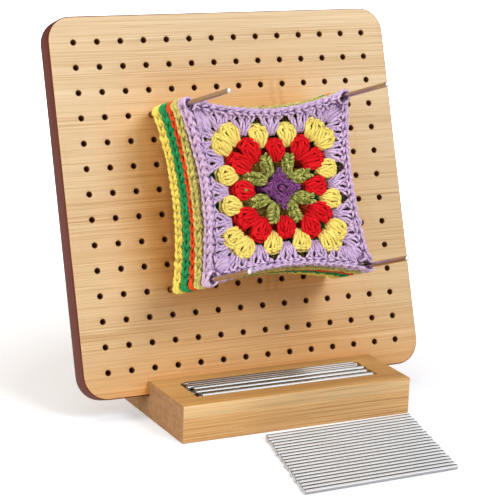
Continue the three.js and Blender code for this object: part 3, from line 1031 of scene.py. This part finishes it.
    def shell(self, base, top, side, mat, width, out, foot=1.5, yarn=1.20, fan=1.0, drop=1.9,
              capped=True, loose=False):
        """Three tall stitches from one space. side points across the shell, foot is their spacing
        at the base, and the outer tops lie lower by drop."""
        length = np.linalg.norm(top - base)
        axis = (top - base) / length
        tops = []
        for k in (-1.0, 0.0, 1.0):
            start = base + side * k * foot + axis * self.jitter(0.2)
            end = (top + side * (k * width * 0.86 + self.jitter(0.2))
                   - axis * (abs(k) * drop + 0.6 - self.jitter(0.2)))
            bend = base + (top - base) * 0.50 + side * (k * width * 1.36 * fan)
            raised = 0.8 if k == 0 else 0.0
            self.post(start, bend, end, mat, out=(-2.4, out + raised + self.jitter(0.12), -1.6),
                      yarn=yarn * (1 + self.jitter(0.03)), coil=(0.36 if loose else 0.31) * width,
                      core=(0.22 if loose else 0.31) * width, hand=self.either(0.8))
            tops.append((end, k))
        if not capped:
            return
        for end, k in tops:
            tilt = -0.42 * k
            tilted_side = side * math.cos(tilt) + axis * math.sin(tilt)
            tilted_axis = axis * math.cos(tilt) - side * math.sin(tilt)
            self.cap(end - tilted_axis * (1.7 + self.jitter(0.4)), tilted_side * self.either(0.5),
                     tilted_axis, width, out + 0.1, mat)
        # the chain that closes the shell follows its rounded shoulder
        t = np.linspace(-1, 1, 13)
        shoulder = (0.3 - np.abs(t) ** 2.4 * (drop + 1.2)
                    + 0.35 * np.sin(t * 9 + self.jitter(1.5)))
        points = top + side * (t * (width * 1.44))[:, None] + axis * shoulder[:, None]
        height = -0.5 - 1.3 * np.abs(t) ** 3 + 0.25 * np.sin(t * 8 + self.jitter(2.0))
        self.strand(self.warp(points), height, 1 - 0.35 * np.abs(t) ** 4, mat)

    # ---- rounds
    def build(self):
        self.first_round(self.rounds[0])
        for number, (mat, sizes) in enumerate(zip(self.rounds[1:], MIDDLE_ROUNDS)):
            for up, side in SIDES:
                self.middle_side(up, side, mat, *sizes, loose=number == 0)
        if self.fine:                               # a short raised strand left of the middle
            self.leg((-32.6, -0.6), (-31.4, -0.2), (-30.2, 0.4), (2.4, 3.9, 2.4), 1.15,
                     self.rounds[1])
        self.last_round(self.rounds[4])
        self.corners(self.rounds[4])
        self.border(self.rounds[4])

    def first_round(self, mat):
        """Four shells that make a star round the starting ring."""
        for k in range(6):                          # the starting ring
            a = 2 * np.pi * k / 6
            start = np.array([np.cos(a), np.sin(a)]) * 2.2
            end = np.array([np.cos(a + 1.5), np.sin(a + 1.5)]) * 2.2
            self.leg(start, (start + end) * 0.62, end, (-0.8, 0.3, -0.8), 0.95, mat)
        for k in range(5):                          # short strands across the middle
            a = 2.5 * k + self.jitter(0.3)
            way = np.array([np.cos(a), np.sin(a)])
            self.leg(way * 2.8, way[::-1] * (0.8, -0.8), -way * 2.6, (0.3, 2.4, 0.3), 0.85, mat)
        self.leg((-2.0, 0.9), (0.1, 0.1), (2.1, -0.8), (0.6, 1.9, 0.6), 1.5, mat)
        for up, side in SIDES:
            self.shell(up * 2.6, up * 16.6, side, mat, width=3.7, foot=1.3, out=0.9, yarn=0.92,
                       fan=1.25, drop=4.6, capped=False)
            diagonal = (up + side) / math.sqrt(2)
            across = np.array([diagonal[1], -diagonal[0]])
            for off in (-2.3, 0.0, 2.3):            # stitches between the arms
                self.post(diagonal * 2.4, diagonal * 6.0 + across * off * 0.9,
                          diagonal * (10.2 - abs(off) * 0.55) + across * off * 1.5, mat,
                          out=(-2.4, 0.5, -1.2), coil=0.95, yarn=0.88, core=1.3)
            for z, half in STAR_STRANDS:
                for sign in (-1, 1):
                    j = self.jitter(0.7, 4)
                    self.leg(up * (z - 1.2 + j[0]) + side * (half * sign + j[1]),
                             up * (z + 0.9 + j[2]) + side * (1.0 * sign + j[3]),
                             up * (z + 2.4) - side * half * 0.35 * sign,
                             (0.2, 2.0, 0.4), 0.78, mat)

    def middle_side(self, up, side, mat, base_z, top_z, singles, corner_base, corner_top, width,
                    loose):
        """One side of rounds 2 to 4, with half of each corner's shells."""
        for x in singles:
            x = x + self.jitter(0.4)
            self.shell(up * base_z + side * x, up * top_z + side * x, side, mat, width=width,
                       out=1.9, foot=1.0, drop=1.3)
        for sign in (-1, 1):
            base = up * corner_base[1] + side * corner_base[0] * sign
            top = up * corner_top[1] + side * corner_top[0] * sign
            length = np.linalg.norm(top - base)
            axis = (top - base) / length
            across = np.array([axis[1], -axis[0]])
            across = across if across @ side > 0 else -across
            self.shell(base, top, across, mat, width=width, out=-0.4 if loose else 1.9,
                       loose=loose, capped=not loose, drop=2.8 if loose else 1.9)
            if loose:
                self.cross_shell(base, axis, across, length, mat)
        # chains between the shells, seen as thin bars in the gaps
        places = sorted([-corner_top[0], *singles, corner_top[0]])
        for left, right in zip(places[:-1], places[1:]):
            if right - left > 11:
                start = up * (top_z - 1.6) + side * (left + 4.5)
                end = up * (top_z - 1.6) + side * (right - 4.5)
                self.leg(start, (start + end) / 2, end, (-1.4, -2.0, -1.4), 1.3, mat, count=8)

    def cross_shell(self, base, axis, across, length, mat):
        """Loose strands that cross an open shell."""
        for part, half in LOOSE_STRANDS:
            for sign in (-1, 1):
                j = self.jitter(0.5, 5)
                middle = base + axis * (length * part + 0.5 * j[4])
                self.leg(middle + across * (half * sign + j[0]) + axis * (1.9 + j[1]),
                         middle + across * (half * 0.55 * sign + j[2]) + axis * (0.9 + j[3]),
                         middle + across * (0.3 * sign) - axis * 1.5,
                         (0.7, 3.1, -0.4), 1.08, mat, ends=0.62)

    def last_round(self, mat):
        """Fans between the shells of round 4, their tops spread evenly under the border."""
        # place along the side, places of the tops, height of the base
        fans = [(x, [x - FAN_PITCH, x, x + FAN_PITCH], 43.6) for x in (-24.4, 0.0, 24.4)]
        fans += [(41.4 * sign, [34.2 * sign, 41.2 * sign, 48.0 * sign], 45.2) for sign in (-1, 1)]
        for up, side in SIDES:
            for x, top_places, base_z in fans:
                base = up * base_z + side * x
                for top_x in top_places:
                    k = (top_x - x) / FAN_PITCH
                    top = up * (59.4 + self.jitter(0.35)) + side * (top_x + self.jitter(0.45))
                    self.post(base + side * k * 1.6, base + up * 8.6 + side * k * 5.4, top, mat,
                              out=(-2.6, 1.4 + 0.6 * (abs(k) < 0.3), -0.4),
                              turns=0.7 + self.jitter(0.2), coil=1.5, yarn=1.02, core=1.6,
                              hand=self.either(0.7))
            # short strands that cross from post to post, with small openings between them
            for x in sorted(x for _, top_places, _ in fans for x in top_places):
                j = self.jitter(0.4, 6)
                foot = side * (x + j[0] * 0.7)
                self.leg(foot + up * (54.2 + j[1]), foot + side * 2.2 + up * (56.9 + j[2]),
                         foot + side * (4.2 + j[3]) + up * 60.2, (0.6, 3.2, 1.0), 1.12, mat)
                self.leg(foot + up * (54.8 + j[4]), foot - side * 1.5 + up * (57.4 + j[5]),
                         foot - side * (3.4 + j[1]) + up * 60.4, (0.4, 3.6, 1.0), 1.12, mat)
                self.leg(foot - side * (3.0 + j[2]) + up * (57.6 + j[3]), foot + up * (58.8 + j[0]),
                         foot + side * 2.8 + up * (60.0 + j[5]), (0.2, 4.2, 0.6), 1.08, mat)

    def corners(self, mat):
        """Long strands that fan out from the last corner space to the rod."""
        for sign_x, sign_z in CORNER_RODS:
            for base_x, base_z, top_x, top_z in CORNER_POSTS:
                base = np.array([base_x * sign_x, base_z * sign_z])
                top = np.array([top_x * sign_x, top_z * sign_z])
                bend = (base + top) / 2 + np.array([sign_x, -sign_z]) * self.jitter(0.8)
                self.post(base, bend, top, mat, out=(-2.2, 1.2, -0.2), turns=0.9, coil=1.35,
                          yarn=0.98, core=1.4)

    # ---- border
    def border(self, mat):
        """A chain of V stitches over a core. From the side the legs of each V make a herringbone
        across the thickness; from the front the front legs make a braided rim."""
        rim = Rim()
        thick = self.thick > 10
        distance = np.arange(0, rim.total + 0.1, 2.0)
        core = self.warp(rim.offset(distance, np.full(len(distance), -0.7)))
        core_strands = ((-2.6, 2.1), (0.0, 2.2), (2.6, 2.1)) if thick else ((-1.2, 1.9), (1.2, 1.9))
        # the core strands carry painted shade
        for out, radius in core_strands:
            self.strand(core, out, radius, mat, painted_shade=0.9)
        count = int(round(rim.total / 5.6))
        pitch = rim.total / count
        radius = 1.22 if thick else 1.10
        top = self.thick / 2 - radius * 0.85
        # heights of the strands of each leg, in the groove and at the outer end
        if thick:
            lanes = ((0.7, 0.55 * top), (0.38 * top, 0.88 * top), (0.72 * top, top))
        else:
            lanes = ((0.6, 0.8 * top), (0.5 * top, top))
        for i in range(count):
            start = i * pitch + self.jitter(0.30)
            self.rim_legs(rim, start, pitch, lanes, radius, mat)
            self.face_legs(rim, start, pitch, top, mat)
        self.rod_loops(((1.9, 3.9), (-2.0, 3.85)) if thick else ((0.6, 3.85),), mat)

    def rim_legs(self, rim, start, pitch, lanes, radius, mat):
        """Strands side by side: the inner one starts low in the groove, the outer one rolls over
        the edge."""
        t = np.linspace(0, 1, 8)
        arch = np.sin(np.pi * t)
        for sign in (-1, 1):
            lean = self.jitter(0.2, 2)[0]
            for lane, (low, high) in enumerate(lanes):
                j = self.jitter(0.22, 3)
                distance = (start + pitch * (0.16 * lane) + pitch * 1.12 * t
                            + (0.0 if sign > 0 else pitch * 0.2))
                roll = np.sin(np.pi * (0.05 + 0.50 * t)) ** 1.1
                out = sign * (low + (high - low) * roll + lean * 0.5)
                outward = 0.7 + (1.35 - 0.25 * lane + j[0]) * arch ** 0.8 - 0.5 * t
                # painted shade on the low ends of each leg
                self.strand(self.warp(rim.offset(distance, outward)), out + j[1] * 0.6,
                            radius * (1 + 0.07 * j[2]) * (0.60 + 0.40 * arch ** 0.6), mat,
                            painted_shade=0.75 * (1 - arch ** 0.8))

    def face_legs(self, rim, start, pitch, top, mat):
        """The legs of each stitch as the front and the back show them."""
        t = np.linspace(0, 1, 7)
        arch = np.sin(np.pi * t)
        for sign in (-1, 1):
            # outward at the start, change in outward, radius
            for first, last, radius in ((-0.9, 1.7, 1.08), (-1.5, -0.1, 1.0), (-1.4, -2.9, 0.95)):
                j = self.jitter(0.34, 4)
                distance = start + j[3] + pitch * (0.05 + (0.98 + 0.1 * j[2]) * t)
                out = sign * (top - 1.1 + (1.9 + 0.7 * j[0]) * arch ** 0.8)
                outward = first + (last - first) * np.sin(np.pi * (0.02 + 0.55 * t)) + j[1]
                # painted shade on the low ends of each leg
                self.strand(self.warp(rim.offset(distance, outward)), out,
                            radius * (1 + 0.08 * j[2]) * (0.55 + 0.45 * arch ** 0.6), mat,
                            painted_shade=0.75 * (1 - arch ** 0.8))

    def rod_loops(self, loops, mat):
        """Loops round the rods, each given as out and radius. The rods lean, so each loop is drawn
        out to reach round both ends of the rod's path."""
        a = np.linspace(0, 2 * np.pi, 25)
        for start, end in self.rod_paths:
            lie = math.atan2(*(end - start)[::-1])
            centre = np.where((np.cos(a - lie) > 0)[:, None], end, start)
            for out, radius in loops:
                points = centre + radius * np.column_stack([np.cos(a), np.sin(a)])
                self.strand(points, out + 1.1 * np.sin(a), 1.25, mat, collide=False)


# ------------------------------------------------------------------ the five squares
# from the board outwards: CAD piece, colours of the rounds, waist, corner, seed, strand sides,
# step, shift of the middle
SQUARES = [
    ("square_1_yellow", ["red", "lavender", "green", "orange", "gold"],
     (65.4, 66.8, 65.2, 65.8), 74.0, 11, 8, 1.8, (0.6, 0.4)),
    ("square_2_green", ["gold", "red", "lavender", "olive", "green"],
     (64.6, 66.2, 65.2, 65.8), 74.0, 12, 8, 1.8, (-0.5, 0.2)),
    ("square_3_orange", ["green", "gold", "purple", "yellow", "orange"],
     (64.8, 65.8, 64.8, 65.2), 73.8, 13, 8, 1.8, (0.3, 0.0)),
    ("square_4_olive", ["purple", "yellow", "orange", "green", "olive"],
     (66.2, 66.2, 64.8, 64.8), 74.0, 14, 8, 1.7, (0.3, -0.3)),
    ("square_5_lavender", ["purple", "moss", "red", "yellow", "lavender"],
     (63.5, 64.4, 62.4, 61.0), 73.8, 15, 12, 1.15, (2.7, -1.5)),
]
CORNER_REACH = 70.0         # up or down from a square's middle to the height of its rods


def rod_place(rod_line, out):
    """Board coordinates x, z where a rod crosses the plane at a distance out from the board."""
    centre, axis = rod_line
    offset = centre - FACE_CENTRE
    t = (out - offset @ OUT) / (axis @ OUT)
    point = offset + axis * t
    return np.array([point @ RIGHT, point @ UP])


def build_squares(rod_lines):
    slides = {j["child"]: j["range_m"] for j in BEHAVIOUR["joints"]}
    travel = [0.0, 0.0]                             # each square also moves with the ones under it
    for node, colours, waist, corner, seed, sides, step, shift in SQUARES:
        offsets = node_points(node) - FACE_CENTRE
        out, x, z = offsets @ OUT, offsets @ RIGHT, offsets @ UP
        middle = np.array([(x.min() + x.max()) / 2, (z.min() + z.max()) / 2])
        # the slab's slope, and its mid plane and thickness
        z = z - middle[1]
        slope = np.linalg.lstsq(np.column_stack([np.ones(len(z)), z]), out, rcond=None)[0][1]
        level = out - slope * z
        mid_out = (level.min() + level.max()) / 2
        thick = (level.max() - level.min()) * math.cos(math.atan(slope))
        for k in (0, 1):
            travel[k] += slides[node][k] / MM
        pins, rod_paths = {}, []
        for signs, rod in CORNER_RODS.items():
            line = rod_lines[rod]
            at_corner = mid_out + slope * CORNER_REACH * signs[1]
            pins[signs] = rod_place(line, at_corner) - middle
            rod_paths.append([rod_place(line, at_corner + slide) - middle
                              for slide in (travel[0] - thick / 2, travel[1] + thick / 2)])
        used = list(dict.fromkeys(colours))
        colour = node.split("_")[-1]
        square = Square(
            rounds=[used.index(c) for c in colours], waist=waist, corner=corner, thick=thick,
            plane=(mid_out, slope), shift=shift, pins=pins, rod_paths=rod_paths,
            seed=seed, sides=sides, step=step, fine=colour == "lavender")
        square.build()
        ob = square.yarn.make_object(node + "_crochet", *middle, [COTTON[c] for c in used])
        register(ob, node, node)


build_board()
build_stand()
build_squares(build_rods())


# ------------------------------------------------------------------ floor
def floor_material():
    """A pale seamless sweep: it takes soft shadows near the object and fades to white far off."""
    g = Material("pale_floor")
    ray = g.new("ShaderNodeLightPath").outputs
    seen, bounced = (0.78, 0.84, 0.92), (0.90, 0.85, 0.78)
    g.surface(Base_Color=g.mix(ray["Is Diffuse Ray"], seen, bounced), Roughness=0.8,
              Specular_IOR_Level=0.05)
    place = g.new("ShaderNodeNewGeometry").outputs["Position"]
    distance = g.new("ShaderNodeVectorMath", {0: place}, operation="LENGTH").outputs["Value"]
    near_glow, far_glow = 0.35, 1.6                 # far_glow is added with distance
    glow = g.add(near_glow, g.mul(g.climb(distance, start=0.20, span=0.9), far_glow))
    emission = g.new("ShaderNodeEmission", {
        "Color": (0.93, 1.0, 1.09), "Strength": g.mul(glow, ray["Is Camera Ray"])})
    both = g.new("ShaderNodeAddShader", {0: g.bsdf.outputs[0], 1: emission.outputs[0]})
    output = next(n for n in g.tree.nodes if n.type == "OUTPUT_MATERIAL")
    g.feed(output.inputs["Surface"], both.outputs[0])
    return g.mat


def build_floor(half):
    mesh = bpy.data.meshes.new("floor")
    corners = [(-half, -half, 0), (half, -half, 0), (half, half, 0), (-half, half, 0)]
    mesh.from_pydata(corners, [], [(0, 1, 2, 3)])
    mesh.materials.append(floor_material())
    add_object("floor", mesh)


build_floor(half=6)


# ------------------------------------------------------------------ lights
def area_light(name, place, target, size, power, colour=WHITE):
    """A square lamp that polished metal doesn't mirror."""
    light = bpy.data.lights.new(name, "AREA")
    light.shape = "RECTANGLE"
    light.size = size
    light.size_y = size
    light.energy = power
    light.color = colour
    ob = bpy.data.objects.new(name, light)
    ob.location = place
    ob.rotation_euler = (Vector(target) - Vector(place)).to_track_quat("-Z", "Y").to_euler()
    ob.visible_glossy = False
    scene.collection.objects.link(ob)


area_light("key", place=(1.10, -2.42, 2.30), target=(0, 0, 0.15), size=1.35, power=74,
           colour=(0.98, 1.0, 1.03))
area_light("top", place=(-0.5, 0.1, 1.9), target=(0, 0, 0.1), size=1.5, power=10)
area_light("fill", place=(-2.2, -0.36, 0.40), target=(0, 0, 0.15), size=0.9, power=34,
           colour=(1.0, 0.94, 0.82))


# ------------------------------------------------------------------ world
def grey(value):
    return (value, value, value)


def build_world():
    """Warm ambient light, a dim room with soft boxes for polished metal, and white for the camera."""
    world = bpy.data.worlds.new("studio")
    scene.world = world
    world.use_nodes = True
    world.node_tree.nodes.clear()
    g = Graph(world.node_tree)
    output = g.new("ShaderNodeOutputWorld")
    way = g.new("ShaderNodeTexCoord").outputs["Generated"]
    height = g.split(way)[2]
    ray = g.new("ShaderNodeLightPath").outputs

    def background(colour, strength):
        inputs = {0: colour, 1: strength}
        return g.new("ShaderNodeBackground", inputs).outputs[0]

    def choose(factor, a, b):
        return g.new("ShaderNodeMixShader", {0: factor, 1: a, 2: b}).outputs[0]

    def soft_box(direction, edge, full, level):
        """A round glow about a direction; edge and full are cosines of the angle from it."""
        facing = g.new("ShaderNodeVectorMath", {0: way, 1: direction}, operation="DOT_PRODUCT")
        return g.ramp(facing.outputs["Value"], (edge, grey(0.0)), (full, grey(level)))

    ambient = background(
        g.ramp(height, (0.02, (0.46, 0.32, 0.20)), (0.85, (1.0, 0.71, 0.44))), strength=0.46)
    overhead = soft_box((0.442, -0.150, 0.884), edge=0.952, full=0.978, level=1.0)
    front = soft_box((0.449, -0.779, 0.439), edge=0.90, full=0.95, level=1.1)
    room = g.ramp(height, (0.0, grey(0.08)), (0.30, grey(0.16)), (1.0, grey(0.10)))
    room = g.mix(1.0, room, overhead, "LIGHTEN")
    room = g.mix(1.0, room, front, "LIGHTEN")
    mirrored = background(room, strength=1.8)
    lit = choose(ray["Is Glossy Ray"], ambient, mirrored)
    g.feed(output.inputs[0], choose(ray["Is Camera Ray"], lit, background(WHITE, strength=1.0)))


build_world()

scene.view_settings.view_transform = "Standard"
scene.view_settings.look = "None"
scene.view_settings.exposure = 0.0
scene.view_settings.gamma = 1.0


# ------------------------------------------------------------------ camera
def build_camera(place, right, forward, lens):
    """right only sets the roll: it is squared up to forward."""
    camera = bpy.data.cameras.new("camera")
    ob = add_object("camera", camera)
    forward = Vector(forward).normalized()
    right = Vector(right)
    right = (right - forward * right.dot(forward)).normalized()
    up = right.cross(forward).normalized()
    rows = [(right[k], up[k], -forward[k], place[k]) for k in range(3)]
    ob.matrix_world = Matrix((*rows, (0, 0, 0, 1)))
    camera.sensor_width = 36.0
    camera.sensor_fit = "AUTO"
    camera.lens = lens
    camera.clip_start = 0.05
    camera.clip_end = 50
    scene.camera = ob


build_camera(place=(-0.6719, -1.2699, 0.4979), right=(0.89497, -0.44476, 0.03487),
             forward=(0.43876, 0.86337, -0.24916), lens=134.712)
